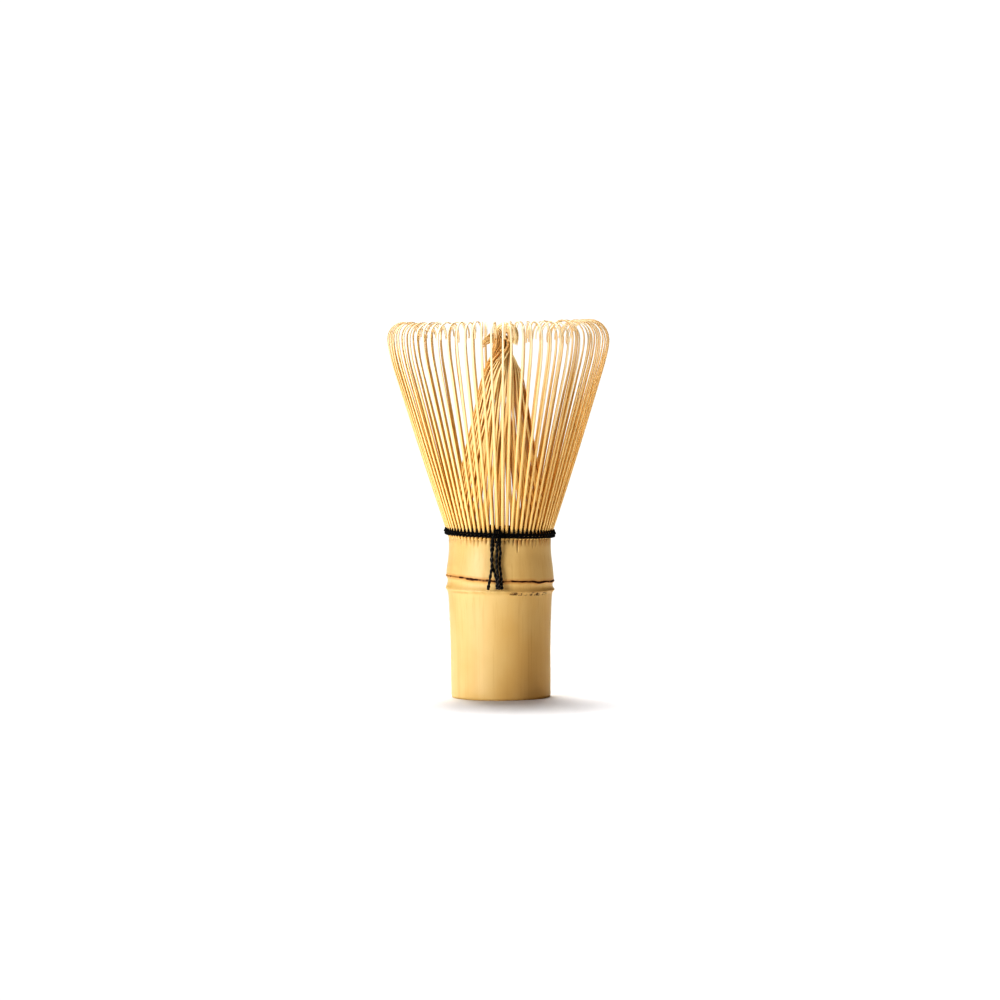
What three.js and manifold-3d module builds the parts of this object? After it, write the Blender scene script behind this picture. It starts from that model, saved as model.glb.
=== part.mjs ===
// A bamboo tea whisk. One length of culm is the handle. Above its node ring the culm wall is cut
// into splints, and each splint is divided again into fine tines: half of them spread outwards and
// hook over at the tip, half of them lean inwards and meet in a tuft on the axis. A black thread,
// laced through the roots and knotted at the front, keeps the two rings of tines apart, and its
// ends hang down over the node ring.
// Units are millimetres, +Z is up, and the origin is the centre of the handle's foot.
import * as THREE from "three";
import { mergeVertices } from "three/addons/utils/BufferGeometryUtils.js";
import Module from "manifold-3d";

const wasm = await Module();
wasm.setup();

// ---- Driving dimensions --------------------------------------------------------------------
const SPLINTS = 18;
const TINES_PER_SPLINT = 4; // in each ring, outer and inner
const GAP = 0.3; // between any two separate pieces

const FOOT_RADIUS = 14.7;
const NODE_RADIUS = 16.0; // at the two ridges of the node ring
const COLLAR_RADIUS = 15.0; // where the wall is split into tines
const WALL = 3.5; // thickness of the culm wall
const NODE_LOW = 32.0; // height of the lower ridge
const NODE_HIGH = 35.2; // height of the upper ridge
const DIAPHRAGM = 2.8; // thickness of the web that closes the culm at its node
const SPLIT_HEIGHT = 47.0; // top of the whole wall

const OUTER_SLOPE = 0.322; // outward lean of the outer tines, radius over height
const RIM_RADIUS = 32.45; // the widest place, in the middle of a tine
const RIM_TOP = 110.4; // the highest place, in the middle of a tine
const HOOK_RADIUS = 4.5; // of the outer tines' hooked tips

const INNER_SHOULDER = { radius: 12.9, height: 56 }; // where the inner tines start to lean in
const NECK_HEIGHT = 102.5; // narrowest place, under the tuft
const NECK_RADIUS = 1.5; // of the innermost layer of tines there
const TUFT_RADIUS = 5.2; // half the width of the tuft where the inner tines meet
const TUFT_LAYER = 0.5; // from one layer of tips to the next

const THREAD = 0.5; // diameter of the lacing thread
const BAND_HEIGHT = 48.3; // middle of the laced band
const BAND = 1.9; // height of the laced band
const KNOT = { x: -0.8, size: 1.1, flatness: 0.7, back: 17.65 }; // back: its distance from the axis

// ---- Materials -----------------------------------------------------------------------------
const skin = new THREE.MeshStandardMaterial({ color: 0xe3c283, roughness: 0.42, metalness: 0 });
const outerTine = new THREE.MeshStandardMaterial({ color: 0xe9cb92, roughness: 0.5, metalness: 0 });
const innerTine = new THREE.MeshStandardMaterial({ color: 0xdcb877, roughness: 0.55, metalness: 0 });
const thread = new THREE.MeshStandardMaterial({ color: 0x15140f, roughness: 0.75, metalness: 0 });

// ---- Solids --------------------------------------------------------------------------------
// A closed geometry as a solid that can be joined to another.
function solidOf(geometry) {
  const bare = geometry.clone();
  bare.deleteAttribute("normal");
  bare.deleteAttribute("uv");
  const merged = mergeVertices(bare, 1e-4);
  return new wasm.Manifold(
    new wasm.Mesh({
      numProp: 3,
      vertProperties: merged.attributes.position.array,
      triVerts: new Uint32Array(merged.index.array),
    }),
  );
}

// Several overlapping geometries joined into one.
function joined(geometries) {
  const whole = geometries.map(solidOf).reduce((sum, piece) => sum.add(piece));
  const mesh = whole.getMesh();
  const geometry = new THREE.BufferGeometry();
  const corners = new Float32Array(mesh.vertProperties);
  geometry.setAttribute("position", new THREE.BufferAttribute(corners, 3));
  geometry.setIndex(new THREE.BufferAttribute(new Uint32Array(mesh.triVerts), 1));
  geometry.computeVertexNormals();
  return geometry;
}

// A profile of [radius, height] pairs turned about the axis.
function turned(profile) {
  const points = profile.map(([radius, height]) => new THREE.Vector2(radius, height));
  return new THREE.LatheGeometry(points, 36).rotateX(Math.PI / 2);
}

// Points on an arc in the plane of radius and height. Angle 0 points outwards.
function arc(centre, radius, from, to, steps) {
  return Array.from({ length: steps + 1 }, (_, i) => {
    const angle = THREE.MathUtils.lerp(from, to, i / steps);
    return new THREE.Vector2(centre.x + radius * Math.cos(angle), centre.y + radius * Math.sin(angle));
  });
}

// A strip of bamboo that follows a line in the plane of radius and height. Its thickness and its
// width both go evenly from a root size to a tip size.
function strip(line, thickness, width) {
  const last = line.length - 1;
  const side = (sign) =>
    line.map((point, i) => {
      const along = line[Math.min(i + 1, last)].clone().sub(line[Math.max(i - 1, 0)]).normalize();
      const offset = (sign * THREE.MathUtils.lerp(thickness.root, thickness.tip, i / last)) / 2;
      return new THREE.Vector2(point.x - along.y * offset, point.y + along.x * offset);
    });
  const outline = new THREE.Shape([...side(-1), ...side(1).reverse()]);
  const geometry = new THREE.ExtrudeGeometry(outline, { depth: 1, bevelEnabled: false });
  geometry.translate(0, 0, -0.5);
  geometry.rotateX(Math.PI / 2);
  const position = geometry.getAttribute("position");
  const low = line[0].y;
  const high = Math.max(...line.map((point) => point.y));
  for (let i = 0; i < position.count; i++) {
    const rise = THREE.MathUtils.clamp((position.getZ(i) - low) / (high - low), 0, 1);
    position.setY(i, position.getY(i) * THREE.MathUtils.lerp(width.root, width.tip, rise));
  }
  return geometry;
}

// One splint's share of the split wall, between two radii: the root that its tines grow from.
const ROOT_LOW = SPLIT_HEIGHT + GAP;
const ROOT_HIGH = ROOT_LOW + 1.2;

function root(inner, outer) {
  const half = Math.PI / SPLINTS - GAP / 2 / inner;
  const ring = (radius, angle) => new THREE.Vector2(radius * Math.cos(angle), radius * Math.sin(angle));
  const outside = [-half, 0, half].map((angle) => ring(outer, angle));
  const inside = [half, -half].map((angle) => ring(inner, angle));
  const outline = new THREE.Shape([...outside, ...inside]);
  const geometry = new THREE.ExtrudeGeometry(outline, { depth: ROOT_HIGH - ROOT_LOW, bevelEnabled: false });
  return geometry.translate(0, 0, ROOT_LOW);
}

// The angle of tine number k of a splint, from the splint's own middle.
function tineAngle(k) {
  return ((k - (TINES_PER_SPLINT - 1) / 2) * 2 * Math.PI) / (SPLINTS * TINES_PER_SPLINT);
}

// ---- Culm: the handle ----------------------------------------------------------------------
// Hollow below and above the node, with the culm's own diaphragm left in at the node ring.
function culm() {
  const bore = FOOT_RADIUS - WALL;
  const cup = COLLAR_RADIUS - WALL;
  const fillet = 2;
  const web = NODE_LOW - 1.2;
  return turned([
    [0, web],
    [bore - fillet, web],
    [bore, web - fillet],
    [bore, 0],
    [FOOT_RADIUS, 0],
    [FOOT_RADIUS + 0.1, 17],
    [FOOT_RADIUS + 0.4, 26.5],
    [FOOT_RADIUS + 0.6, 30.3],
    [NODE_RADIUS, NODE_LOW],
    [NODE_RADIUS - 0.6, (NODE_LOW + NODE_HIGH) / 2],
    [NODE_RADIUS, NODE_HIGH],
    [COLLAR_RADIUS + 0.5, 38.5],
    [COLLAR_RADIUS, 43],
    [COLLAR_RADIUS, SPLIT_HEIGHT],
    [cup, SPLIT_HEIGHT],
    [cup, web + DIAPHRAGM + fillet],
    [cup - fillet, web + DIAPHRAGM],
    [0, web + DIAPHRAGM],
  ]);
}

// ---- Outer tines ---------------------------------------------------------------------------
// A straight leaning shank, a short bend to upright at the rim, and a hooked tip that points down.
const ROOT_SPLIT = COLLAR_RADIUS - 1.6; // inner face of the outer splints' roots

function outerSplint() {
  const thickness = { root: 0.6, tip: 0.3 };
  const width = { root: 0.95, tip: 0.7 };
  const foot = ROOT_LOW + 0.2;
  const bend = 95;
  const shank = (height) => COLLAR_RADIUS - 0.3 + OUTER_SLOPE * (height - SPLIT_HEIGHT);
  const hookCentre = new THREE.Vector2(RIM_RADIUS - HOOK_RADIUS, RIM_TOP - HOOK_RADIUS);
  const line = [
    new THREE.Vector2(shank(foot), foot),
    new THREE.Vector2(shank(bend), bend),
    ...arc(hookCentre, HOOK_RADIUS, 0, Math.PI, 4),
  ];
  const tines = [];
  for (let k = 0; k < TINES_PER_SPLINT; k++) {
    tines.push(strip(line, thickness, width).rotateZ(tineAngle(k)));
  }
  return joined([root(ROOT_SPLIT, COLLAR_RADIUS), ...tines]);
}

// ---- Inner tines ---------------------------------------------------------------------------
// They stand upright at first and then lean in. The tines of one splint reach the neck in as many
// layers, and their tips curl outwards over one another, so the tuft is a nest of arcs.
function innerSplint() {
  const thickness = { root: 0.45, tip: 0.25 };
  const width = { root: 0.6, tip: 0.26 };
  const foot = ROOT_LOW + 0.2;
  const widestCurl = (TUFT_RADIUS - NECK_RADIUS) / 2;
  const curlCentre = new THREE.Vector2(NECK_RADIUS + widestCurl, RIM_TOP - widestCurl);
  const tines = [];
  for (let k = 0; k < TINES_PER_SPLINT; k++) {
    const curl = widestCurl - k * TUFT_LAYER;
    const line = [
      new THREE.Vector2(INNER_SHOULDER.radius - 0.3, foot),
      new THREE.Vector2(INNER_SHOULDER.radius, INNER_SHOULDER.height),
      new THREE.Vector2(curlCentre.x - curl, NECK_HEIGHT),
      ...arc(curlCentre, curl, Math.PI, -0.2, 3),
    ];
    tines.push(strip(line, thickness, width).rotateZ(tineAngle(k)));
  }
  return joined([root(COLLAR_RADIUS - WALL, ROOT_SPLIT - GAP), ...tines]);
}

// ---- Lacing thread -------------------------------------------------------------------------
// The laced band is three rounds: two outside the outer tines, one above the other, and one that
// lies between the two rings of tines. A round's section leans with the tines beside it.
const BAND_LOW = BAND_HEIGHT - BAND / 2;
const BAND_HIGH = BAND_HEIGHT + BAND / 2;
const bandRadius = (height) => COLLAR_RADIUS + GAP + 0.1 + OUTER_SLOPE * Math.max(0, height - SPLIT_HEIGHT);

function round(low, high, innerRadius) {
  return turned([
    [innerRadius(low), low],
    [innerRadius(low) + THREAD, low],
    [innerRadius(high) + THREAD, high],
    [innerRadius(high), high],
    [innerRadius(low), low],
  ]);
}

// The knot is a small flattened lump on the front of the band, over the bights of its loose ends.
function knot() {
  const geometry = new THREE.SphereGeometry(KNOT.size, 12, 8).scale(1, KNOT.flatness, 1);
  const middle = KNOT.back + KNOT.size * KNOT.flatness;
  return geometry.translate(KNOT.x, -middle, BAND_HEIGHT);
}

// The thread's loose ends are two bights that hang from the knot. Each goes up from one end, round a
// small bend between the knot and the band, and down to the other end. Points are [x, y, z].
const NEAR_TAILS = [
  [-3.6, -17.6, 32.65],
  [-3.35, -17.45, 33.9],
  [-3.0, -17.3, 35.8],
  [-2.65, -17.1, 37.8],
  [-2.4, -16.8, 39.8],
  [-2.25, -16.6, 41.8],
  [-2.5, -16.65, 43.8],
  [-2.45, -16.8, 45.6],
  [-2.25, -17.12, 46.8],
  [-2.1, -17.27, 47.65],
  [-1.82, -17.3, 48.32],
  [-1.15, -17.3, 48.6],
  [-0.48, -17.3, 48.32],
  [-0.25, -17.27, 47.65],
  [-0.6, -17.12, 46.7],
  [-0.95, -16.8, 45.4],
  [-0.85, -16.6, 43.6],
  [-1.0, -16.7, 41.6],
  [-1.0, -16.9, 39.6],
  [-0.8, -17.15, 37.7],
  [-0.55, -17.3, 35.8],
  [-0.45, -17.45, 33.9],
  [-0.3, -17.6, 32.65],
];
const FAR_TAILS = [
  [-0.95, -16.9, 32.7],
  [-0.95, -16.75, 34.1],
  [-1.2, -16.65, 35.9],
  [-1.75, -16.3, 37.9],
  [-2.35, -16.0, 39.8],
  [-2.55, -15.85, 41.7],
  [-2.2, -15.85, 43.6],
  [-1.95, -16.1, 45.2],
  [-1.98, -16.5, 46.5],
  [-2.0, -16.68, 47.3],
  [-1.72, -16.7, 47.97],
  [-1.05, -16.7, 48.25],
  [-0.38, -16.7, 47.97],
  [-0.1, -16.68, 47.3],
  [-0.1, -16.5, 46.4],
  [-0.1, -16.1, 45.0],
  [0.15, -15.85, 43.3],
  [-0.1, -15.85, 41.5],
  [-0.15, -16.05, 39.6],
  [0.15, -16.35, 37.7],
  [0.3, -16.65, 35.9],
  [0.35, -16.8, 34.1],
  [0.45, -16.95, 32.65],
];

function tails(points) {
  const route = new THREE.CatmullRomCurve3(points.map((point) => new THREE.Vector3(...point)));
  const section = new THREE.Shape();
  section.absarc(0, 0, THREAD / 2, 0, 2 * Math.PI, false);
  return new THREE.ExtrudeGeometry(section, { steps: 40, curveSegments: 4, extrudePath: route });
}

// ---- Assembly ------------------------------------------------------------------------------
const whisk = new THREE.Group();

function place(name, geometry, material, parent = whisk) {
  const mesh = new THREE.Mesh(geometry, material);
  mesh.name = name;
  parent.add(mesh);
}

place("culm_handle", culm(), skin);
for (let i = 0; i < SPLINTS; i++) {
  const number = String(i + 1).padStart(2, "0");
  const sector = new THREE.Group();
  sector.rotation.z = ((i + 0.5) * 2 * Math.PI) / SPLINTS;
  place(`outer_splint_${number}`, outerSplint(), outerTine, sector);
  place(`inner_splint_${number}`, innerSplint(), innerTine, sector);
  whisk.add(sector);
}
place("thread_lower_round", round(BAND_LOW, BAND_HEIGHT - GAP / 2, bandRadius), thread);
place("thread_upper_round", round(BAND_HEIGHT + GAP / 2, BAND_HIGH, bandRadius), thread);
place("thread_inner_round", round(ROOT_HIGH + 0.6, ROOT_HIGH + 1.1, () => ROOT_SPLIT - 0.1), thread);
place("thread_knot", knot(), thread);
place("thread_tails_near", tails(NEAR_TAILS), thread);
place("thread_tails_far", tails(FAR_TAILS), thread);

export default whisk;
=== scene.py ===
# %% [markdown]
# # A bamboo tea whisk
# One length of bamboo culm is the handle and all the tines of this whisk, and one black thread
# holds the tines apart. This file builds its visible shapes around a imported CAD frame: every size
# that matters comes from that frame, and only the fine surface is added here.

# %% Load the frame
import math
import random

import bmesh
import bpy
from mathutils import Matrix, Vector, noise
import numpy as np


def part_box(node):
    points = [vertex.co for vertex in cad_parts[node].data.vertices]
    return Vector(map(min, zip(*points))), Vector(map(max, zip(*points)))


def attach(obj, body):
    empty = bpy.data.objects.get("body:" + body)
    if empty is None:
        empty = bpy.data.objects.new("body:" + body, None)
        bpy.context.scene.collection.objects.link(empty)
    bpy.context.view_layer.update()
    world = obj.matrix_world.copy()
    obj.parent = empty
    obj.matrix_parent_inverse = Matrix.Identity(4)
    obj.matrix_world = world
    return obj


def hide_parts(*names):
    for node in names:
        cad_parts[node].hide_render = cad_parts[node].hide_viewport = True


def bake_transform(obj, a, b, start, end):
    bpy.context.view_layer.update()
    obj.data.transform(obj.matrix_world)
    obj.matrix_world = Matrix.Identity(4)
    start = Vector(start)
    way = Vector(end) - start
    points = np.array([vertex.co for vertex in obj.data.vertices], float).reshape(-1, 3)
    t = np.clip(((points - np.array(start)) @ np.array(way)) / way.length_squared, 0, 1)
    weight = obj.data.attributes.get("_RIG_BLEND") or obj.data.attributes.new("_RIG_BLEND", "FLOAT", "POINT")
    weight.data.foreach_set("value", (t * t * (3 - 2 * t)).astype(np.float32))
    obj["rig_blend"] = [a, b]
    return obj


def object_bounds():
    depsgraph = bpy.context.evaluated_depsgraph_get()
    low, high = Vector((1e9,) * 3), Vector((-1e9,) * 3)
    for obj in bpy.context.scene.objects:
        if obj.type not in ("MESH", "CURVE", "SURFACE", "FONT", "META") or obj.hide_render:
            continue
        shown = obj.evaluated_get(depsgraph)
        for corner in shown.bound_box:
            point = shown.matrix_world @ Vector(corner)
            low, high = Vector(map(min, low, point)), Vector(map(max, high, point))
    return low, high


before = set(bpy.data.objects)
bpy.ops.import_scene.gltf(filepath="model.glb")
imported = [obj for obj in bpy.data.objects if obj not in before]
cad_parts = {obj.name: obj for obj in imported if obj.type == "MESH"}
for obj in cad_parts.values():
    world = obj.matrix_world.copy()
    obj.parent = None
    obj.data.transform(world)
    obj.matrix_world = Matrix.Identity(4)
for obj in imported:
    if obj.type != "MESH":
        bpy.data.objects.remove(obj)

cad_box = [list(corner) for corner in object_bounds()]
print("CAD box in metres:", cad_box)

# %% [markdown]
# ## Driving sizes
# Blender works in metres here, and the whisk is a small thing, so lengths are written in
# millimetres and multiplied by MM. The heights below, and the number of splints, are read from the frame's
# nodes.

# %% Sizes
MM = 0.001
UP = Vector((0, 0, 1))

RIM_TOP = cad_box[1][2] / MM
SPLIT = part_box("culm_handle")[1][2] / MM  # where the whole wall ends and the splints begin
BAND_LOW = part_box("thread_lower_round")[0][2] / MM
BAND_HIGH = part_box("thread_upper_round")[1][2] / MM
SPLINTS = sum(name.startswith("outer_splint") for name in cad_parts)
TINES = 4 * SPLINTS  # in each of the two rings
PITCH = 2 * math.pi / TINES
print(f"{SPLINTS} splints, {TINES} tines in a ring, rim at {RIM_TOP:.1f} mm, split at {SPLIT:.1f} mm")

# %% [markdown]
# ## Camera
# A long lens from a little over a metre away, level with the rim, so that the handle's foot is
# seen slightly from above and the rim almost edge on.

# %% Camera
CAMERA_DISTANCE = 1.29
CAMERA_HEIGHT = 0.112
CAMERA_ASIDE = 0.0001  # to the right of the axis
AIM_HEIGHT = 0.058
CAMERA_ROLL = math.radians(-0.43)  # the whisk stands a hair out of upright in the frame
FRAME_WIDTH = 0.294  # what the picture spans at the whisk

camera_data = bpy.data.cameras.new("camera")
camera_data.sensor_width = 36
camera_data.lens = camera_data.sensor_width * CAMERA_DISTANCE / FRAME_WIDTH
camera = bpy.data.objects.new("camera", camera_data)
bpy.context.scene.collection.objects.link(camera)
camera.location = (CAMERA_ASIDE, -CAMERA_DISTANCE, CAMERA_HEIGHT)
aim = Vector((CAMERA_ASIDE, 0, AIM_HEIGHT))
level_view = (aim - camera.location).to_track_quat("-Z", "Y").to_matrix()
camera.rotation_euler = (level_view @ Matrix.Rotation(CAMERA_ROLL, 3, "Z")).to_euler()
bpy.context.scene.camera = camera
print(f"lens {camera_data.lens:.0f} mm")

# %% [markdown]
# ## Pulling a strip
# Tines and threads are both long thin things with a small section. A curve with a bevel could
# make them, but a tine's section turns, thins and narrows on the way, so each strip is drawn as a
# ring of edges that is extruded from one place on its line to the next. Each vertex remembers how
# far along the strip it is, where it sits across it, which face it is on and a number of its own
# strip, and the finishes read those marks later.

# %% Strip tools
MARKS = ("along", "across", "face", "own")
TINE_SECTION = [(-1, -0.5), (-0.7, -1), (0.7, -1), (1, -0.5), (1, 0.45), (0.72, 1), (-0.72, 1), (-1, 0.45)]


def two_lobes(corners):
    """The section of two plies side by side: an oval with a waist."""
    section = []
    for corner in range(corners):
        angle = 2 * math.pi * corner / corners
        reach = 0.8 + 0.2 * math.cos(2 * angle)
        section.append((reach * math.cos(angle), reach * math.sin(angle)))
    return section


TWO_PLY = two_lobes(10)


def smooth_line(points, steps):
    """Catmull-Rom: a smooth line through the points, with that many steps from one to the next."""
    padded = [2 * points[0] - points[1], *points, 2 * points[-1] - points[-2]]
    line = []
    for before, start, end, after in zip(padded, padded[1:], padded[2:], padded[3:]):
        for step in range(steps):
            t = step / steps
            line.append(0.5 * (2 * start + (end - before) * t
                               + (2 * before - 5 * start + 4 * end - after) * t ** 2
                               + (3 * start - before - 3 * end + after) * t ** 3))
    return [*line, points[-1].copy()]


def new_strips():
    """A bmesh with the layers that remember a strip's marks."""
    bm = bmesh.new()
    for mark in MARKS:
        bm.verts.layers.float.new(mark)
    return bm


def pull_strip(bm, line, facing, section, size, own, twist=0):
    """Extrudes the section along the line. facing(t) is the direction of the section's width, and
    size(t) is half the width and half the thickness. The twist is in turns over the length."""
    layers = bm.verts.layers.float
    ring = []
    for x, y in section:
        vert = bm.verts.new((x, y, 0))
        vert[layers["across"]] = x
        vert[layers["face"]] = y
        vert[layers["own"]] = own
        ring.append(vert)
    first = [bm.edges.new((ring[k - 1], ring[k])) for k in range(len(ring))]
    edges, last, back = first, len(line) - 1, Matrix()
    for i, place in enumerate(line):
        if i:
            made = bmesh.ops.extrude_edge_only(bm, edges=edges)["geom"]
            ring = [part for part in made if isinstance(part, bmesh.types.BMVert)]
            fresh = set(ring)
            edges = [part for part in made
                     if isinstance(part, bmesh.types.BMEdge) and fresh.issuperset(part.verts)]
        along = (line[min(i + 1, last)] - line[max(i - 1, 0)]).normalized()
        across = facing(i / last)
        across = (across - along * across.dot(along)).normalized()
        out = along.cross(across)
        half_width, half_thickness = size(i / last)
        turn = Matrix.Rotation(2 * math.pi * twist * i / last, 4, "Z")
        scale = Matrix.Diagonal((half_width, half_thickness, half_width, 1))
        axes = Matrix((across, out, along)).transposed().to_4x4()
        now = Matrix.Translation(place) @ axes @ scale @ turn
        bmesh.ops.transform(bm, matrix=now @ back, verts=ring)
        back = now.inverted()
        for vert in ring:
            vert[layers["along"]] = i / last
    for loop in (first, edges):
        bmesh.ops.contextual_create(bm, geom=loop)


def finish_piece(name, bm, smooth=True):
    """Turns a bmesh, drawn in millimetres, into an object at the origin, in metres."""
    bmesh.ops.scale(bm, vec=(MM, MM, MM), verts=bm.verts)
    bmesh.ops.recalc_face_normals(bm, faces=bm.faces)
    for face in bm.faces:
        face.smooth = smooth
    mesh = bpy.data.meshes.new(name)
    bm.to_mesh(mesh)
    bm.free()
    piece = bpy.data.objects.new(name, mesh)
    bpy.context.scene.collection.objects.link(piece)
    return piece


def steady(direction):
    """A facing that stays the same all along a strip."""
    return lambda t: direction


def polar(azimuth, radius, height):
    """The point at that azimuth and radius about the whisk's axis."""
    return Vector((radius * math.cos(azimuth), radius * math.sin(azimuth), height))


def smoothstep(low, high, value):
    """0 below low, 1 above high, smooth in the middle."""
    t = min(1, max(0, (value - low) / (high - low)))
    return t * t * (3 - 2 * t)

# %% [markdown]
# ## The hanging thread ends
# Under the knot the thread leaves the whisk in two bights, and each bight's two legs hang down the
# collar and over the node ring. They are free cords with a real length, so each one is drawn whole,
# from one end, up round its small bend and down to the other end, through the points of its route.
# A two-lobed section that turns as it goes gives the look of two plies twisted together.

# %% Thread ends
THREAD = 0.5  # diameter of the thread pulled tight
PLY = 1.2  # how much wider its two plies stand than that
LOOSE = 1.75  # the same where the thread hangs free
TWIST_PITCH = 2.4  # length of one turn of the plies there
TAIL_FACING = Vector((1, 0.2, 0.1))  # across the legs, and never along them

NEAR_TAILS = [
    (-3.6, -17.6, 32.65),
    (-3.35, -17.45, 33.9),
    (-3.0, -17.3, 35.8),
    (-2.65, -17.1, 37.8),
    (-2.4, -16.8, 39.8),
    (-2.25, -16.6, 41.8),
    (-2.5, -16.65, 43.8),
    (-2.45, -16.8, 45.6),
    (-2.25, -17.12, 46.8),
    (-2.1, -17.27, 47.65),
    (-1.82, -17.3, 48.32),
    (-1.15, -17.3, 48.6),
    (-0.48, -17.3, 48.32),
    (-0.25, -17.27, 47.65),
    (-0.6, -17.12, 46.7),
    (-0.95, -16.8, 45.4),
    (-0.85, -16.6, 43.6),
    (-1.0, -16.7, 41.6),
    (-1.0, -16.9, 39.6),
    (-0.8, -17.15, 37.7),
    (-0.55, -17.3, 35.8),
    (-0.45, -17.45, 33.9),
    (-0.3, -17.6, 32.65),
]
FAR_TAILS = [
    (-0.95, -16.9, 32.7),
    (-0.95, -16.75, 34.1),
    (-1.2, -16.65, 35.9),
    (-1.75, -16.3, 37.9),
    (-2.35, -16.0, 39.8),
    (-2.55, -15.85, 41.7),
    (-2.2, -15.85, 43.6),
    (-1.95, -16.1, 45.2),
    (-1.98, -16.5, 46.5),
    (-2.0, -16.68, 47.3),
    (-1.72, -16.7, 47.97),
    (-1.05, -16.7, 48.25),
    (-0.38, -16.7, 47.97),
    (-0.1, -16.68, 47.3),
    (-0.1, -16.5, 46.4),
    (-0.1, -16.1, 45.0),
    (0.15, -15.85, 43.3),
    (-0.1, -15.85, 41.5),
    (-0.15, -16.05, 39.6),
    (0.15, -16.35, 37.7),
    (0.3, -16.65, 35.9),
    (0.35, -16.8, 34.1),
    (0.45, -16.95, 32.65),
]


def line_length(line):
    """The length of a line of short steps."""
    return sum((b - a).length for a, b in zip(line, line[1:]))


def thread_size(t, fullness=PLY):
    """A thread keeps its thickness, and only its very ends close."""
    half = THREAD / 2 * fullness * (0.6 if t in (0, 1) else 1)
    return half, half


def tail_size(t):
    """A cut end opens a little, like a small brush."""
    brush = 1 + 0.25 * smoothstep(0.43, 0.49, abs(t - 0.5))
    return thread_size(t, LOOSE * brush)


def hang_tails(name, points, own):
    """One bight of thread with its two hanging legs, as a free cord."""
    line = smooth_line([Vector(point) for point in points], 5)
    length = line_length(line)
    bm = new_strips()
    pull_strip(bm, line, steady(TAIL_FACING), TWO_PLY, tail_size, own, length / TWIST_PITCH)
    tails = finish_piece(name, bm)
    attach(tails, "culm")
    [place * MM for place in line]
    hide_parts("thread_" + name)
    print(f"{name}: {length:.1f} mm of thread")
    return tails


threads = [hang_tails("tails_near", NEAR_TAILS, 0.2), hang_tails("tails_far", FAR_TAILS, 0.8)]

# %% [markdown]
# ## The culm
# The handle is a turned shape with what a lathe can't give it: the sheath scar on the node ring
# runs slightly downhill, the wall isn't perfectly round, and short splits run down into the collar
# from the gaps between the tines. An outline is spun about the axis, and its vertices are then
# moved. The outline goes from the web outwards over the foot, up the skin, and down the cup inside.

# %% Culm outline
WALL = 3.5
FOOT_RADIUS = 14.7
COLLAR_RADIUS = 15.0
COLLAR_TOP = SPLIT + 0.7  # hidden under the thread
WEB_LOW = 30.8  # level of the web's under side, which is domed by half a millimetre
WEB = 2.8  # how thick the web is
SKIN = [  # radius, height: the shaft, the lower ridge, the groove, the scar's ridge, the collar
    (14.66, 0.9), (14.7, 6), (14.8, 17), (15.05, 26.3), (15.3, 30.2),
    (15.55, 31.2), (15.98, 31.75), (16.0, 32.15), (15.68, 32.75),
    (15.45, 33.6), (15.6, 34.4),
    (15.95, 34.95), (15.98, 35.25), (15.8, 35.5), (15.78, 36.2),
    (15.55, 38.4), (15.3, 40.4), (15.05, 42.6),
    (COLLAR_RADIUS, 44.2), (COLLAR_RADIUS, 45.6), (COLLAR_RADIUS, 47),
]


def culm_outline():
    """(radius, height) pairs from the middle of the web's under side round to its upper side."""
    bore = FOOT_RADIUS - WALL
    cup = COLLAR_RADIUS - WALL
    web_top = WEB_LOW + WEB
    under = [(0, WEB_LOW + 0.5), (5, WEB_LOW + 0.3), (9, WEB_LOW - 0.3), (10.6, WEB_LOW - 1.6)]
    under += [(bore, WEB_LOW - 4), (bore - 0.1, 16), (bore, 2), (bore + 0.1, 0.3)]
    foot = [(bore + 0.35, 0), (FOOT_RADIUS - 0.6, 0), (FOOT_RADIUS - 0.25, 0.18)]
    skin = smooth_line([Vector(point) for point in SKIN], 3)
    over = [(COLLAR_RADIUS - 0.1, COLLAR_TOP), (cup + 0.2, COLLAR_TOP), (cup, COLLAR_TOP - 0.3)]
    over += [(cup, 40), (cup - 0.6, web_top + 2), (8, web_top + 0.4), (0, web_top)]
    return [*under, *foot, *((place.x, place.y) for place in skin), *over]


outline = culm_outline()
print(f"{len(outline)} points in the culm's outline")

# %% Culm
COLUMNS = 4 * TINES  # four columns of faces to each gap between tines
SCAR = 35.2  # height of the sheath scar on the axis
SCAR_SLOPE = {"x": -0.06, "y": 0.018}  # higher at the left, and a little at the back
SCAR_SPREAD = 3.5  # how far above and below the scar its slope dies out
BAND_SLOPE = -0.035  # the same for the laced band, along X
SPLIT_DEPTHS = (0.9, 2.1)  # how far the splits run down into the collar
LONG_SPLIT = {"gap": TINES - 14, "depth": 3.4}  # one of them ran on further
SPLIT_DENT = 1.1  # how deep an open split is
LIPS = {0: 0, 1: -1, 2: 0, 3: 1}  # which way a column of vertices moves to close up a split


def culm_tilt(place, height):
    """How far the node ring and the band are out of level."""
    near = math.exp(-((height - SCAR) / SCAR_SPREAD) ** 2)
    ring = near * (SCAR_SLOPE["x"] * place.x + SCAR_SLOPE["y"] * place.y)
    collar = BAND_SLOPE * smoothstep(SCAR + 2, SPLIT, height) * place.x
    return ring + collar


def spin_culm():
    """The outline turned about the axis."""
    bm = bmesh.new()
    verts = [bm.verts.new((radius, 0, height)) for radius, height in outline]
    edges = [bm.edges.new(pair) for pair in zip(verts, verts[1:])]
    bmesh.ops.spin(bm, geom=verts + edges, cent=(0, 0, 0), axis=UP, angle=2 * math.pi,
                   steps=COLUMNS, use_merge=True)
    bmesh.ops.remove_doubles(bm, verts=bm.verts, dist=1e-5)
    return bm


def split_opening(start, height):
    """How far a split that starts at one height has opened at another, from 0 to 1."""
    return min(1, max(0, (height - start) / (SPLIT + 0.3 - start)))


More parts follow.
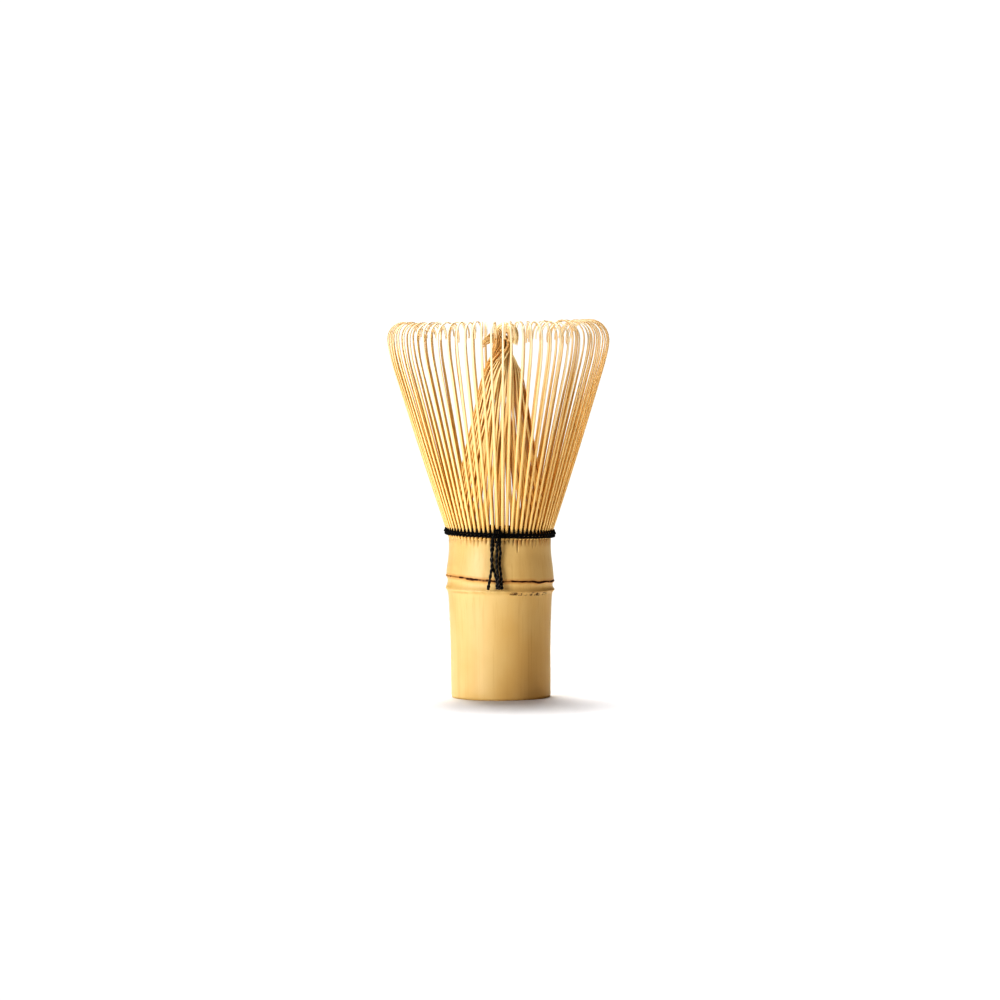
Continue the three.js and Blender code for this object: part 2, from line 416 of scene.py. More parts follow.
def shape_culm(bm):
    """Moves the vertices: the lips of the splits, the uneven wall and the slope of the rings."""
    rng = random.Random(11)
    starts = [SPLIT - rng.uniform(*SPLIT_DEPTHS) for _ in range(TINES)]
    starts[LONG_SPLIT["gap"]] = SPLIT - LONG_SPLIT["depth"]
    for vert in bm.verts:
        radius, height = vert.co.xy.length, vert.co.z
        if radius < 1e-6:
            continue
        azimuth = math.atan2(vert.co.y, vert.co.x)
        column = round(azimuth / (2 * math.pi) * COLUMNS)
        opening = split_opening(starts[round(column / 4) % TINES], height)
        collar = smoothstep(SPLIT - 6, SPLIT - 3, height)
        azimuth += LIPS[column % 4] * collar * (0.9 - 0.65 * opening) * PITCH / 4
        place = polar(azimuth, 1, 0)
        wobble = noise.noise(Vector((place.x * 1.3, place.y * 1.3, height * 0.02)))
        fine = noise.noise(Vector((place.x * 4, place.y * 4, height * 0.25 + 9)))
        radius += 0.12 * wobble + 0.035 * fine
        if column % 4 == 0 and radius > COLLAR_RADIUS - 2:
            radius -= SPLIT_DENT * opening ** 0.8
        height += culm_tilt(place * radius, height)
        vert.co = polar(azimuth, radius, height)


culm_mesh = spin_culm()
shape_culm(culm_mesh)
culm = finish_piece("bamboo_culm", culm_mesh)
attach(culm, "culm")
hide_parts("culm_handle")
print(f"culm: {len(culm.data.polygons)} faces")

# %% [markdown]
# ## The outer tines
# Each tine is a straight leaning strip that bends upright near the rim and then hooks over, with
# its tip pointing down inside. The skin side faces out. Hand work shows in small differences of
# spacing, height and curl, so every tine draws its own from a seeded generator. The four tines of
# a splint are one piece: it follows the handle at the root and its own sprung joint higher up, so
# a flexed splint bends smoothly.

# %% Outer tine
ROOT_RADIUS = 14.72  # where the shanks come out of the wall
SLOPE = 0.322  # outward lean of a shank, radius over height
RIM_RADIUS = 32.4
BEND_START = 95  # height where a shank starts to bend upright
HOOK = {"radius": 4.3, "wider": 1.5, "higher": 0.5}  # a hook, and what the ones at the right have more


def gap_azimuth(index):
    """Where the gap with that number is, or with a half the tine after it."""
    return index * PITCH


def shank_radius(height):
    """How far from the axis a straight shank is at a height."""
    return ROOT_RADIUS + SLOPE * (height - SPLIT)


def outer_line(azimuth, rng):
    """The middle line of one outer tine: its shank, the bend to upright, and the hook."""
    to_right = max(0, math.cos(azimuth)) ** 2
    hook = HOOK["radius"] + HOOK["wider"] * to_right + rng.uniform(-0.35, 0.35)
    top = RIM_TOP - 0.25 + HOOK["higher"] * to_right + rng.uniform(-0.35, 0.25)
    rim = RIM_RADIUS + rng.uniform(-0.3, 0.3)
    turn = math.pi + math.radians(rng.uniform(-12, 18))
    lean = math.radians(rng.uniform(-9, 9))
    drift = rng.uniform(-0.75, 0.75)  # how far beside its own gap the tine has got at the rim
    bow = rng.uniform(-0.15, 0.25)
    centre = top - hook
    corner = BEND_START + (rim - shank_radius(BEND_START)) / SLOPE
    flat = []  # radius, height, and how far aside
    for step in range(7):
        height = SPLIT - 0.3 + (BEND_START - SPLIT + 0.3) * step / 7
        flat.append((shank_radius(height) + bow * math.sin(math.pi * step / 7), height, drift * step / 8))
    for step in range(5):
        t = step / 5
        start, end = (shank_radius(BEND_START), BEND_START), (rim, centre)
        radius = (1 - t) ** 2 * start[0] + 2 * t * (1 - t) * rim + t * t * end[0]
        height = (1 - t) ** 2 * start[1] + 2 * t * (1 - t) * corner + t * t * end[1]
        flat.append((radius, height, drift))
    for step in range(13):
        angle = turn * step / 12
        reach = hook * (1 - math.cos(angle))
        flat.append((rim - reach, centre + hook * math.sin(angle), drift + reach * math.sin(lean)))
    side = polar(azimuth + math.pi / 2, 1, 0)
    return [polar(azimuth, radius, height) + side * aside for radius, height, aside in flat]


def outer_size(t):
    """Half the width and half the thickness: a tine is pared thinner and narrower to its tip."""
    width = 0.45 - 0.13 * smoothstep(0.1, 0.5, t) - 0.09 * smoothstep(0.55, 1, t)
    thickness = 0.3 - 0.15 * smoothstep(0.02, 0.4, t) - 0.06 * smoothstep(0.4, 0.9, t)
    return width, thickness


outer_rng = random.Random(3)
outer_pieces = []
for number in range(SPLINTS):
    bm = new_strips()
    for k in range(4):
        azimuth = gap_azimuth(4 * number + k + 0.5)
        line = outer_line(azimuth + math.radians(outer_rng.uniform(-0.3, 0.3)), outer_rng)
        facing = steady(polar(azimuth - math.pi / 2, 1, 0))
        pull_strip(bm, line, facing, TINE_SECTION, outer_size, outer_rng.random())
    label = f"{number + 1:02d}"
    piece = finish_piece(f"outer_tines_{label}", bm)
    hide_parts(f"outer_splint_{label}")
    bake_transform(piece, "culm", f"splint_{label}", start=(0, 0, SPLIT * MM), end=(0, 0, 80 * MM))
    outer_pieces.append(piece)
print(f"{len(outer_pieces)} combs of outer tines")

# %% [markdown]
# ## The inner tines and their tuft
# The inner tines come up between the outer ones, are pushed inside by the thread, and lean in. At
# the neck they pass the axis to one side, all turning the same way, like the reeds of a twisted
# sheaf: lines that pass an axis like that don't meet. Above the neck they part. Those that come
# from the left fall over to the right in a rounded roll, with the furthest from it outermost, and
# those from the right go out to the left, lower down, and splay like fingers.

# %% Inner tine
NECK = Vector((1.1, 0, 103.4))
NECK_LAYERS = (1.0, 1.55, 2.1, 2.6)  # how far beside the axis each layer passes
CONE = [  # radius, height, and how much of the swirl there is already
    (14.6, 46.9, 0), (12.9, 49.2, 0), (13.2, 55.5, 0), (12.35, 61, 0),
    (9.9, 73, 0.1), (7.35, 85, 0.3), (4.7, 96, 0.65),
]
BUNDLES = 9  # the tines of the cone draw together in so many bundles
BUNDLING = 0.17  # and turn this far towards the middle of their bundle, in radians

# The roll's middle, the radii of its least and largest layer, and how far its ends hang.
ROLL = {"x": 2.3, "height": RIM_TOP - 3.9, "small": 0.5, "large": 3.5, "end": 3.2}
ROLL_LAYERS = 7  # from the least to the largest
# A finger's length, how far above the neck it starts, and how high it arches.
FINGERS = {"reach": 5.2, "lift": 0.8, "arch": 0.8}
FINGER_RISE = {"least": -16, "range": 72, "steps": 6}  # in degrees, from the lowest finger upwards
FINGER_ARCH = ((0.08, 0.2), (0.28, 0.75), (0.5, 1), (0.75, 0.7), (0.92, 0.1), (1, -0.6))  # reach, arch
TILT = 0.8  # how much the broad sides of the tuft's strips lean towards the front


def cone_points(azimuth, swirl, layer, rng):
    """From the root to just under the neck."""
    outward, aside = polar(azimuth, 1, 0), polar(azimuth + math.pi / 2, 1, 0)
    points = []
    gather = -BUNDLING * math.sin(BUNDLES * azimuth)  # towards the middle of a bundle
    for radius, height, share in CONE:
        free = smoothstep(50, 75, height)
        beside = swirl * share + rng.uniform(-0.4, 0.4) * free
        beside += gather * radius * smoothstep(70, 96, height)
        lift = free * 0.3 * (layer - 1.5)
        sway = Vector((NECK.x, NECK.y, 0)) * smoothstep(60, NECK.z, height)
        points.append(outward * (radius + lift) + aside * beside + sway + UP * height)
    return points


def roll_points(beside, rng):
    """Over to the right and down. A strip that passes the neck further left makes a larger circle."""
    share = 0.5 - beside.x / 2 / NECK_LAYERS[-1]
    share = round(ROLL_LAYERS * share) / ROLL_LAYERS + rng.uniform(-0.02, 0.02)
    size = ROLL["small"] + (ROLL["large"] - ROLL["small"]) * share
    heading = 0.28 * (beside.y + 0.5) + rng.uniform(-0.06, 0.06)
    ahead = polar(heading, 1, 0)
    start = Vector((ROLL["x"] - size, 1.2 * beside.y, ROLL["height"]))
    points = []
    for degrees in range(0, 181, 30):
        angle = math.radians(degrees)
        points.append(start + ahead * size * (1 - math.cos(angle)) + UP * size * math.sin(angle))
    end = ROLL["end"] * (0.55 + 0.45 * share) * rng.uniform(0.85, 1.05)
    points.append(start + ahead * (2 * size - 0.05) - UP * 0.5 * end)
    points.append(start + ahead * (2 * size - 0.35) - UP * end)
    return points, heading


def finger_points(beside, rng):
    """Out to the left like the fingers of a hand. Those from further right rise more steeply."""
    share = min(1, max(0, 0.5 + beside.x / 2 / NECK_LAYERS[-1]))
    step = round(FINGER_RISE["steps"] * share) / FINGER_RISE["steps"]
    rise = math.radians(FINGER_RISE["least"] + FINGER_RISE["range"] * step + rng.uniform(-4, 4))
    reach = FINGERS["reach"] * rng.uniform(0.88, 1.06)
    heading = math.pi + 0.35 - 0.24 * beside.y + rng.uniform(-0.12, 0.12)
    ahead = polar(heading, 1, 0) * math.cos(rise) + UP * math.sin(rise)
    base = NECK + beside * 0.6 + UP * FINGERS["lift"]
    points = [base + ahead * reach * part + UP * FINGERS["arch"] * arch for part, arch in FINGER_ARCH]
    return points, heading


def turning(start, heading):
    """A facing that goes from one direction to that of a finger above the middle of the strip."""
    end = polar(heading + math.pi / 2, 1, 0) + UP * TILT
    end = end if start.dot(end) >= 0 else -end
    return lambda t: start.lerp(end, smoothstep(0.35, 0.8, t))


def rolling(start, heading):
    """The same for a strip of the roll, which goes half a turn round in the upper part of it."""
    side, ahead = polar(heading + math.pi / 2, 1, 0), polar(heading, 1, 0)
    sign = 1 if start.dot(side) >= 0 else -1

    def facing(t):
        angle = math.pi * min(1, max(0, (t - 0.5) / 0.375))
        out = UP * math.sin(angle) - ahead * math.cos(angle)
        return start.lerp(sign * (side + out * TILT), smoothstep(0.35, 0.55, t))

    return facing


def inner_line(azimuth, layer, rng):
    """The middle line of one inner tine, and the direction of its width all along it."""
    swirl = NECK_LAYERS[layer] + rng.uniform(-0.15, 0.15)
    points = cone_points(azimuth, swirl, layer, rng)
    beside = polar(azimuth + math.pi / 2, swirl, 0)
    points.append(NECK + beside)
    from_left = math.cos(azimuth) < 0
    over, heading = roll_points(beside, rng) if from_left else finger_points(beside, rng)
    start_facing = polar(azimuth - math.pi / 2, 1, 0)
    facing = rolling(start_facing, heading) if from_left else turning(start_facing, heading)
    return smooth_line(points + over, 3), facing


def inner_size(t):
    """Broadest low on the cone, where the strips lie side by side."""
    low, high = smoothstep(0.05, 0.25, t), smoothstep(0.35, 0.6, t)
    width = 0.3 + 0.09 * low - 0.15 * high - 0.04 * smoothstep(0.85, 1, t)
    thickness = 0.24 - 0.12 * smoothstep(0.05, 0.5, t) - 0.03 * high
    return width, thickness


inner_rng = random.Random(5)
inner_pieces = []
for number in range(SPLINTS):
    bm = new_strips()
    for k in range(4):
        azimuth = gap_azimuth(4 * number + k)
        line, facing = inner_line(azimuth, (k * 3 + number) % 4, inner_rng)
        pull_strip(bm, line, facing, TINE_SECTION, inner_size, inner_rng.random())
    label = f"{number + 1:02d}"
    piece = finish_piece(f"inner_tines_{label}", bm)
    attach(piece, "culm")
    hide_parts(f"inner_splint_{label}")
    inner_pieces.append(piece)
print(f"{len(inner_pieces)} combs of inner tines")

# %% [markdown]
# ## The laced band
# The thread goes round the roots in slanted stitches, each one over the front of two tines, and
# each starting under the one before, which is why the band looks like a rope. There are two rows.
# At every gap a loop rises between the tines and goes in over the round of thread that separates
# the two rings of tines.

# %% Lacing
BAND_MIDDLE = (BAND_LOW + BAND_HIGH) / 2
ROWS = (BAND_MIDDLE - 0.4, BAND_MIDDLE + 0.3)
RISE = 0.62  # from a stitch's start to its end
# Radius at the foot of the band, what a stitch higher up has more, and how far its middle stands out.
STITCH = {"radius": 15.42, "flare": 0.25, "bulge": 0.5, "turns": 1.6}
INNER_ROUND = 13.55  # radius of the thread between the two rings of tines


def band_tilt(place):
    """Puts a point of the band on its slope."""
    place.z += culm_tilt(place, SPLIT)
    return place


def stitch_line(gap, row):
    """One stitch from inside a gap, over two tines, to inside the gap after the next."""
    points = []
    for step in range(7):
        t = step / 6
        azimuth = gap_azimuth(gap + 0.15 + 2 * t)
        height = row + RISE * (t - 0.5)
        bulge = STITCH["bulge"] * math.sin(math.pi * t) ** 0.7
        radius = STITCH["radius"] + STITCH["flare"] * (height - BAND_LOW) + bulge
        points.append(band_tilt(polar(azimuth, radius, height)))
    return points


def loop_line(gap, peak):
    """A loop that rises in a gap and goes in over the inner round."""
    azimuth = gap_azimuth(gap)
    route = [(16.0, BAND_HIGH - 0.9), (16.05, BAND_HIGH), (15.7, BAND_HIGH + 0.75 * peak),
             (14.9, BAND_HIGH + peak), (14.0, BAND_HIGH + 0.6 * peak), (13.6, BAND_HIGH - 0.2)]
    return smooth_line([band_tilt(polar(azimuth, radius, height)) for radius, height in route], 2)


def ring_line(radius, height):
    """A round of thread, with a point at every gap."""
    return [band_tilt(polar(gap_azimuth(gap), radius, height)) for gap in range(TINES + 1)]


def lace_band():
    """Two rows of stitches."""
    bm = new_strips()
    rng = random.Random(8)
    for row in ROWS:
        for gap in range(TINES):
            line = stitch_line(gap, row + rng.uniform(-0.04, 0.04))
            pull_strip(bm, line, steady(UP), TWO_PLY, thread_size, rng.random(), STITCH["turns"])
    return bm


def lace_loops():
    """A loop in every gap, higher in front, and the inner round of two threads."""
    bm = new_strips()
    rng = random.Random(9)
    for gap in range(TINES):
        front = max(0, -math.sin(gap_azimuth(gap)))
        peak = rng.uniform(0.35, 0.7) + rng.uniform(0.2, 1.1) * front ** 6
        facing = steady(polar(gap_azimuth(gap) + math.pi / 2, 1, 0))
        pull_strip(bm, loop_line(gap, peak), facing, TWO_PLY, thread_size, rng.random(), 2.5)
    for height in (BAND_HIGH + 0.1, BAND_HIGH - 0.45):
        pull_strip(bm, ring_line(INNER_ROUND, height), steady(UP), TWO_PLY, thread_size, rng.random(), 66)
    return bm


band = finish_piece("laced_band", lace_band())
loops = finish_piece("lacing_loops", lace_loops())
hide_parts("thread_lower_round", "thread_upper_round")
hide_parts("thread_inner_round")

# %% [markdown]
# ## The knot
# The ends are tied over the band: a few turns of thread side by side from under the band to above
# it, with one turn across them, so the knot reads as a small tight lump.

# %% Knot
KNOT_TURNS = ((-1.75, 0.5, 0), (-1.2, 0.1, 0.1), (-0.65, -0.2, 0.12), (-0.1, -0.5, 0))  # x, lean, depth
KNOT_ACROSS = [
    (-2.5, -16.4, 46.9), (-2.1, -17.7, 47.4), (-1.2, -18.5, 48.0),
    (-0.3, -18.3, 48.6), (0.4, -17.3, 49.1), (0.6, -16.3, 49.3),
]


def knot_turn(x, lean, depth):
    """One turn of thread over the front of the band."""
    route = [(15.4, BAND_LOW - 0.8), (16.6, BAND_LOW - 0.9), (17.7, BAND_LOW), (18.0, BAND_MIDDLE),
             (17.8, BAND_HIGH), (16.8, BAND_HIGH + 0.7), (15.6, BAND_HIGH + 0.45)]
    points = []
    for k, (reach, height) in enumerate(route):
        points.append(Vector((x + lean * (k / 6 - 0.5), -(reach + depth), height)))
    return smooth_line(points, 3)


def tie_knot():
    """The turns side by side and the one across them."""
    bm = new_strips()
    facing = steady(Vector((1, 0, 0)))
    for x, lean, depth in KNOT_TURNS:
        pull_strip(bm, knot_turn(x, lean, depth), facing, TWO_PLY, thread_size, 0.5 + x / 4, 5)
    across = smooth_line([Vector(point) for point in KNOT_ACROSS], 3)
    pull_strip(bm, across, steady(UP), TWO_PLY, thread_size, 0.9, 4)
    return bm


knot = finish_piece("knot", tie_knot())
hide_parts("thread_knot")
for piece in (band, loops, knot):
    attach(piece, "culm")
threads += [band, loops, knot]
print(f"thread pieces: {[piece.name for piece in threads]}")

# %% [markdown]
# ## Shader formulas
# A finish is worked out from masks: how high a point is, how close to a line, how noisy. Written
# as nodes by hand that is slow to read, so a small class wraps one output of a node and turns
# Python's operators into Math nodes, and one method adds any other node.

# %% Shader tools
class Wire:
    """One output of a node. Sums and products with it become Math nodes."""

    def __init__(self, finish, socket):
        self.finish = finish
        self.socket = socket

    def calc(self, operation, first, second):
        return self.finish.node("ShaderNodeMath", {"operation": operation}, {0: first, 1: second})

    def __add__(self, other):
        return self.calc("ADD", self, other)

    def __sub__(self, other):
        return self.calc("SUBTRACT", self, other)

    def __rsub__(self, other):
        return self.calc("SUBTRACT", other, self)

    def __mul__(self, other):
        return self.calc("MULTIPLY", self, other)

    def __abs__(self):
        return self.calc("ABSOLUTE", self, 0)

    __radd__ = __add__
    __rmul__ = __mul__


class Finish:
    """A material, its Principled shader, and the one method that adds nodes to it."""

    def __init__(self, name, **constants):
        self.material = bpy.data.materials.new(name)
        self.material.use_nodes = True
        self.tree = self.material.node_tree
        self.shader = self.tree.nodes["Principled BSDF"]
        for socket, value in constants.items():
            title = socket.replace("_", " ").title().replace("Ior", "IOR")
            self.shader.inputs[title].default_value = value

    def node(self, kind, settings=None, sockets=None, output=0):
        """Adds a node of that kind and gives back one of its outputs."""
        node = self.tree.nodes.new(kind)
        for key, value in (settings or {}).items():
            setattr(node, key, value)
        for key, value in (sockets or {}).items():
            self.join(value, node.inputs[key])
        return Wire(self, node.outputs[output])

    def join(self, value, socket):
        """Links a wire to a socket, or sets the socket to a plain value."""
        if isinstance(value, Wire):
            self.tree.links.new(value.socket, socket)
        else:
            socket.default_value = value

    def feed(self, socket, value):
        self.join(value, self.shader.inputs[socket])

    def place(self, scale=(1, 1, 1)):
        """The point's own coordinates in the object, stretched."""
        coordinates = self.node("ShaderNodeTexCoord", output="Object")
        sockets = {"Vector": coordinates, "Scale": scale}
        return self.node("ShaderNodeMapping", {"vector_type": "POINT"}, sockets)

    def axis(self, name):
        """The point's own X, Y or Z in the object."""
        coordinates = self.node("ShaderNodeTexCoord", output="Object")
        return self.node("ShaderNodeSeparateXYZ", None, {0: coordinates}, output=name)

    def mark(self, name):
        """One of the marks that a strip's vertices remember."""
        return self.node("ShaderNodeAttribute", {"attribute_name": name}, output="Fac")

    def noise(self, vector, scale=1.0, detail=2.0, roughness=0.5):
        return self.node("ShaderNodeTexNoise", None,
                         {"Vector": vector, "Scale": scale, "Detail": detail, "Roughness": roughness})

    def between(self, value, low, high):
        """0 below low, 1 above high, smooth in the middle."""
        return self.node("ShaderNodeMapRange", {"interpolation_type": "SMOOTHSTEP"},
                         {"Value": value, "From Min": low, "From Max": high})

    def mix(self, amount, first, second):
        """The first colour at 0, the second at 1."""
        sockets = {0: amount, 6: first, 7: second}
        return self.node("ShaderNodeMix", {"data_type": "RGBA"}, sockets, output=2)

    def bump(self, height, strength, distance):
        sockets = {"Height": height, "Strength": strength, "Distance": distance}
        return self.node("ShaderNodeBump", None, sockets)


def tone(red, green, blue):
    """A colour given as it looks on a screen, from 0 to 255, as the shader wants it."""
    return (*(((c / 255 + 0.055) / 1.055) ** 2.4 for c in (red, green, blue)), 1)

# %% [markdown]
# ## Bamboo skin
# Dried culm has a smooth yellow skin with fine fibres that run straight up, broad soft patches
# of warmer colour, a dark broken scar where the sheath grew on the node ring, and a few dark marks
# under the lower ridge. Where the wall is sawn at the foot the fibres show end on as darker dots.
# Painted shade darkens the splits that run down into the collar, a thin line just under the lower
# ridge, and the skin just under the band.

# %% Culm finish
SCAR_LINE = 35.3  # the dark line on the scar's ridge
# marks: height of the real dark marks; shade: height of a thin line of painted shade under the ridge
RIDGE_UNDERSIDE = {"marks": 31.8, "shade": 31.5}  # what is under the lower ridge
BORE_SKIN = (12.2, 13.4)  # from the paler inside of the wall to its skin


def paint_culm():
    """Bamboo skin: fibres, patches, the scar, the marks under the ridge, the cut places, and painted shade
    under the band, under the ridge and in the splits.
    """
    skin = Finish("bamboo skin", roughness=0.48, specular_ior_level=0.3, coat_weight=0.06,
                  coat_roughness=0.3)
    x, y, z = (skin.axis(name) for name in "XYZ")
    level = z - x * SCAR_SLOPE["x"] - y * SCAR_SLOPE["y"]  # as if the node ring were level
    fibres = skin.noise(skin.place((1900, 1900, 22)), detail=3.0, roughness=0.6)
    streaks = skin.noise(skin.place((420, 420, 9)), detail=2.0)
    patches = skin.noise(skin.place((60, 60, 38)), detail=3.0)
    colour = skin.mix(skin.between(patches, 0.35, 0.68), tone(212, 186, 131), tone(207, 176, 116))
    colour = skin.mix(skin.between(streaks, 0.5, 0.75) * 0.25, colour, tone(192, 155, 92))
    colour = skin.mix(skin.between(fibres, 0.52, 0.8) * 0.3, colour, tone(182, 143, 80))
    # painted shade: the skin just under the band darkens to reddish brown towards the band, broken up by the
    # streaks
    painted_band_shade = skin.between(level, 44.8 * MM, 47.2 * MM) * skin.between(streaks, 0.42, 0.62) * 0.5
    colour = skin.mix(painted_band_shade, colour, tone(178, 122, 62))

    drift = skin.noise(skin.place((240, 240, 240)), detail=3.0)
    scar_gap = abs(level - SCAR_LINE * MM + (drift - 0.5) * 1.3 * MM)
    broken = skin.between(skin.noise(skin.place((400, 400, 60)), detail=3.0) + x * 7, 0.4, 0.56)
    scar = (1 - skin.between(scar_gap, 0.15 * MM, 0.36 * MM)) * (broken * 0.7 + 0.28)
    stain = (1 - skin.between(scar_gap, 0.2 * MM, 1.1 * MM)) * 0.6
    colour = skin.mix(stain, colour, tone(190, 134, 70))

    front_right = skin.between(x, 1 * MM, 4 * MM) * (1 - skin.between(x, 13 * MM, 15 * MM))
    front_right = front_right * (1 - skin.between(y, -9 * MM, 0))
    under_lip = 1 - skin.between(abs(level - RIDGE_UNDERSIDE["marks"] * MM), 0.25 * MM, 0.7 * MM)
    flecks = skin.noise(skin.place((700, 700, 1100)), detail=5.0, roughness=0.75)
    blots = skin.between(flecks, 0.49, 0.57) * front_right * under_lip
    # painted shade: a thin darker line just under the lower ridge, where the ridge overhangs the skin,
    # broken up by noise
    painted_ridge_shade = 1 - skin.between(abs(z - RIDGE_UNDERSIDE["shade"] * MM), 0.1 * MM, 0.5 * MM)
    painted_ridge_shade = painted_ridge_shade * skin.between(drift, 0.4, 0.7) * 0.3
    colour = skin.mix(painted_ridge_shade, colour, tone(176, 122, 62))
    dark = skin.node("ShaderNodeMath", {"operation": "MAXIMUM"}, {0: scar, 1: blots * 0.85})
    colour = skin.mix(dark, colour, tone(66, 34, 20))

    radius = skin.node("ShaderNodeMath", {"operation": "SQRT"}, {0: x * x + y * y})
    cut = 1 - skin.between(z, 0.05 * MM, 0.2 * MM)
    fibre_ends = {"Vector": skin.place((1, 1, 0.02)), "Scale": 1500.0}
    dots = skin.node("ShaderNodeTexVoronoi", {"feature": "F1"}, fibre_ends)
    colour = skin.mix(cut * (1 - skin.between(dots, 0.2, 0.45)) * 0.7, colour, tone(150, 100, 52))
    inside = 1 - skin.between(radius, BORE_SKIN[0] * MM, BORE_SKIN[1] * MM)
    colour = skin.mix(inside, colour, tone(214, 178, 118))
    # painted shade: the open splits in the collar are darkened inside
    split = skin.between(z, 42 * MM, 43 * MM) * (1 - skin.between(radius, 14.45 * MM, 14.85 * MM))
    colour = skin.mix(split, colour, tone(84, 44, 18))

    relief = fibres * 0.5 + streaks * 0.5 - scar * 1.2 - blots * 0.6
    skin.feed("Base Color", colour)
    skin.feed("Roughness", 0.42 + fibres * 0.12 + dark * 0.3 + inside * 0.2)
    skin.feed("Normal", skin.bump(relief, 0.35, 0.00006))
    return skin.material


culm.data.materials.append(paint_culm())

# %% [markdown]
# ## Split bamboo
# A tine shows its skin on the outer face and cut fibres on its edges and its inner face, which look
# more amber; that amber is partly their own colour and partly painted shade on the narrow sides and
# on the inner faces that lie in the shade of the cone. The tips are pared thinnest and are almost
# cream, partly painted light for the light that comes through the thin bamboo. Each tine is its own
# tone, and fine fibres run along it.

# %% Tine finish
def paint_tines(name, root_tone, tip_tone, amber_and_shade_tone, pith_and_shade_tone):
    """A tine's skin from root to tip with some painted light at the tips, and its cut edges and the pith on
    its inner face, both with some painted shade.
    """
    cane = Finish(name, roughness=0.45, specular_ior_level=0.3)
    along, across, face, own = (cane.mark(mark) for mark in MARKS)
    grain_axes = {0: across * 3.0, 1: along * 5.0, 2: own * 90 + face * 1.5}
    grain = cane.noise(cane.node("ShaderNodeCombineXYZ", None, grain_axes), 1.0, 3.0, 0.6)
    # root to tip the tone lightens to near cream: partly the pared tip's own colour, partly painted light
    # for light that comes through the thin bamboo
    colour = cane.mix(cane.between(along, 0.0, 0.6), root_tone, tip_tone)
    colour = cane.mix(own * 0.3, colour, amber_and_shade_tone)
    colour = cane.mix(cane.between(grain, 0.5, 0.75) * 0.3, colour, amber_and_shade_tone)
    # the cut edges: partly the cut fibres' own amber, partly painted shade on the narrow sides, less towards
    # the tip
    colour = cane.mix(cane.between(abs(across), 0.6, 0.95) * (0.8 - along * 0.3), colour, amber_and_shade_tone)
    # the inner face: partly the pith's own colour, partly painted shade for inner faces that lie in the
    # shade of the cone
    colour = cane.mix((1 - cane.between(face, -0.9, 0.2)) * 0.25, colour, pith_and_shade_tone)
    cane.feed("Base Color", colour)
    cane.feed("Roughness", 0.38 + grain * 0.2)
    cane.feed("Normal", cane.bump(grain, 0.3, 0.00005))
    return cane.material


outer_finish = paint_tines("outer tines", tone(238, 209, 148), tone(250, 242, 214), tone(208, 160, 80),
                            tone(214, 168, 92))
inner_finish = paint_tines("inner tines", tone(254, 228, 154), tone(255, 251, 214), tone(210, 146, 54),
                            tone(206, 128, 44))
for piece in outer_pieces:
    piece.data.materials.append(outer_finish)
for piece in inner_pieces:
    piece.data.materials.append(inner_finish)

# %% [markdown]
# ## Black thread
# Cotton dyed black is never quite black: the plies catch a little grey light on their crowns, which
# is painted into the colour as pale glints, and short fibres make the surface soft.

# %% Thread finish
def paint_thread():
    """Dyed cotton, with painted pale glints on the crowns of the plies, strongest where the thread hangs
    free.
    """
    cotton = Finish("black thread", roughness=0.62, specular_ior_level=0.4)
    across, face, own = (cotton.mark(mark) for mark in MARKS[1:])
    fluff = cotton.noise(cotton.place((5200, 5200, 5200)), detail=2.0)
    strand_axes = {0: across * 4.0, 1: face * 4.0, 2: own * 50}
    strands = cotton.noise(cotton.node("ShaderNodeCombineXYZ", None, strand_axes), 1.0)
    colour = cotton.mix(cotton.between(fluff, 0.4, 0.75) * 0.4, tone(12, 11, 10), tone(34, 32, 30))
    # painted highlight: pale glints on the crowns of the plies, faint on the band and strong where the
    # thread hangs free
    painted_glint = cotton.between(across * across + face * face, 0.85, 1.0)
    painted_glint = painted_glint * cotton.between(strands + fluff, 0.85, 1.05)
    loose = 1 - cotton.between(cotton.axis("Z"), 45.5 * MM, 46.5 * MM)
    cotton.feed("Base Color", cotton.mix(painted_glint * (0.1 + loose * 0.8), colour, tone(206, 194, 172)))
    cotton.feed("Roughness", 0.5 + fluff * 0.25)
    cotton.feed("Normal", cotton.bump(fluff * 0.6 + strands * 0.4, 0.5, 0.00006))
    return cotton.material


thread_finish = paint_thread()
for piece in threads:
    piece.data.materials.append(thread_finish)

# %% [markdown]
# ## Studio
# A pale floor, one soft light from the left and in front, one overhead and a little behind that keeps
# the floor white, a weak warm one that lifts the shaded side, and a sky that is white up to a little
# above the horizon and dark higher up. The floor is a round sheet, wide enough for the whisk's
# shadow, and where it ends the sky is as white. A contrast look lets the shaded side of the whisk
# stay deep beside so much white.

# %% Floor
FLOOR_RADIUS = 320  # in millimetres, like every shape that is drawn here

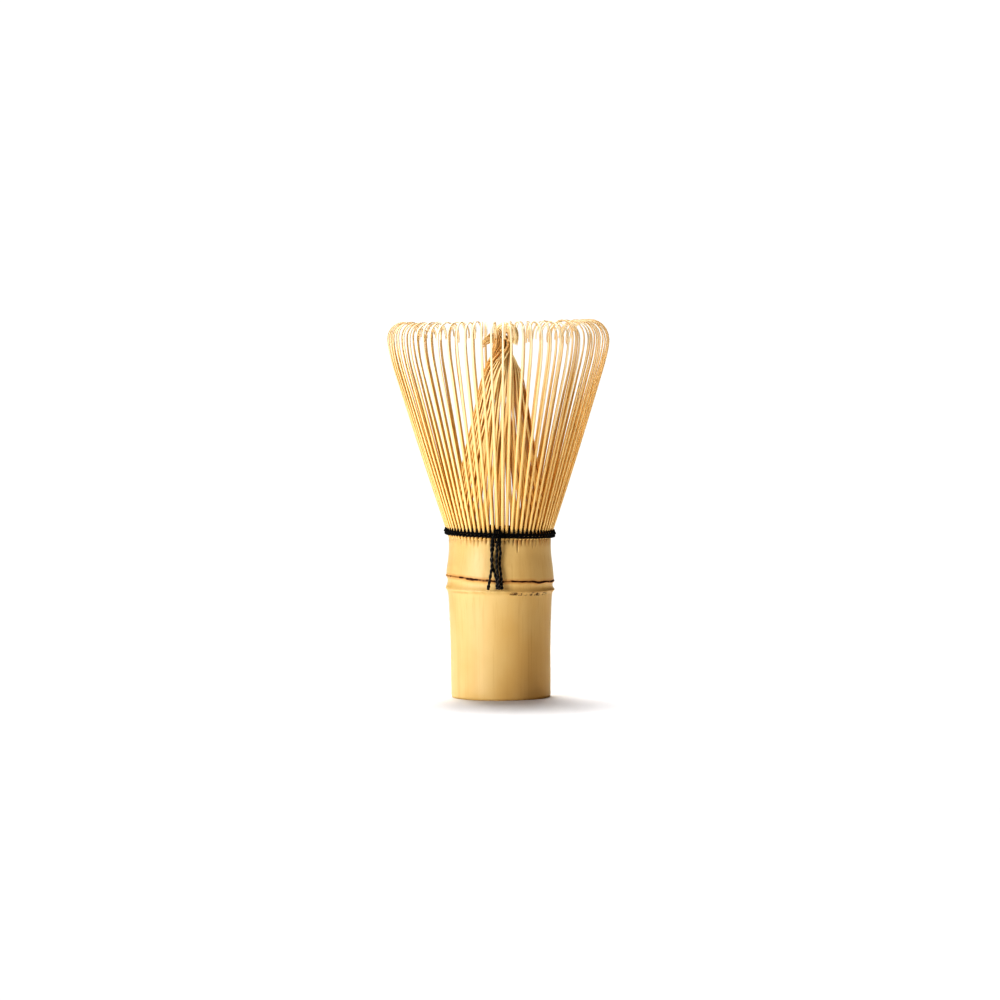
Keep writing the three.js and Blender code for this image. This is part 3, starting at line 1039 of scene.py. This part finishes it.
floor_mesh = bmesh.new()
bmesh.ops.create_circle(floor_mesh, cap_ends=True, segments=96, radius=FLOOR_RADIUS)
floor = finish_piece("floor", floor_mesh, smooth=False)
paper = Finish("paper floor", roughness=0.9, base_color=(0.86, 0.86, 0.86, 1))
floor.data.materials.append(paper.material)

# %% Lights
LIT = Vector((0, 0, 0.06))  # what the lights are turned to
HORIZON = {"white": 0.09, "dark": 0.2}  # how high a direction of the sky points, 1 for straight up
SKY = {"white": 0.62, "dark": 0.02}  # how bright the sky is up to the one height and from the other


def soft_light(name, place, size, watts, colour=(1, 1, 1)):
    """A square lamp that is turned to the whisk."""
    light = bpy.data.lights.new(name, "AREA")
    light.shape = "SQUARE"
    light.size = size
    light.energy = watts
    light.color = colour
    lamp = bpy.data.objects.new(name, light)
    lamp.location = place
    lamp.rotation_euler = (LIT - lamp.location).to_track_quat("-Z", "Y").to_euler()
    bpy.context.scene.collection.objects.link(lamp)


soft_light("key", Vector((-1.1, -0.9, 0.34)), 0.6, 12.8, (1.0, 1.0, 1.1))
soft_light("overhead", Vector((-0.14, 0.8, 2.2)), 1.1, 48.0)
soft_light("warm fill", Vector((1.2, -0.7, 0.2)), 0.6, 1.3, (1, 0.5, 0.12))

world = bpy.data.worlds.new("sky")
world.use_nodes = True
bpy.context.scene.world = world
sky = world.node_tree
direction = sky.nodes.new("ShaderNodeTexCoord")
parts = sky.nodes.new("ShaderNodeSeparateXYZ")
ramp = sky.nodes.new("ShaderNodeMapRange")
ramp.interpolation_type = "SMOOTHSTEP"
ramp.inputs["From Min"].default_value = HORIZON["white"]
ramp.inputs["From Max"].default_value = HORIZON["dark"]
ramp.inputs["To Min"].default_value = SKY["white"]
ramp.inputs["To Max"].default_value = SKY["dark"]
sky.links.new(direction.outputs["Generated"], parts.inputs[0])
sky.links.new(parts.outputs["Z"], ramp.inputs["Value"])
sky.links.new(ramp.outputs[0], sky.nodes["Background"].inputs["Strength"])
sky.nodes["Background"].inputs["Color"].default_value = (1, 1, 1, 1)
bpy.context.scene.view_settings.view_transform = "Standard"
bpy.context.scene.view_settings.look = "Very High Contrast"
print("lights:", [item.name for item in bpy.data.lights])
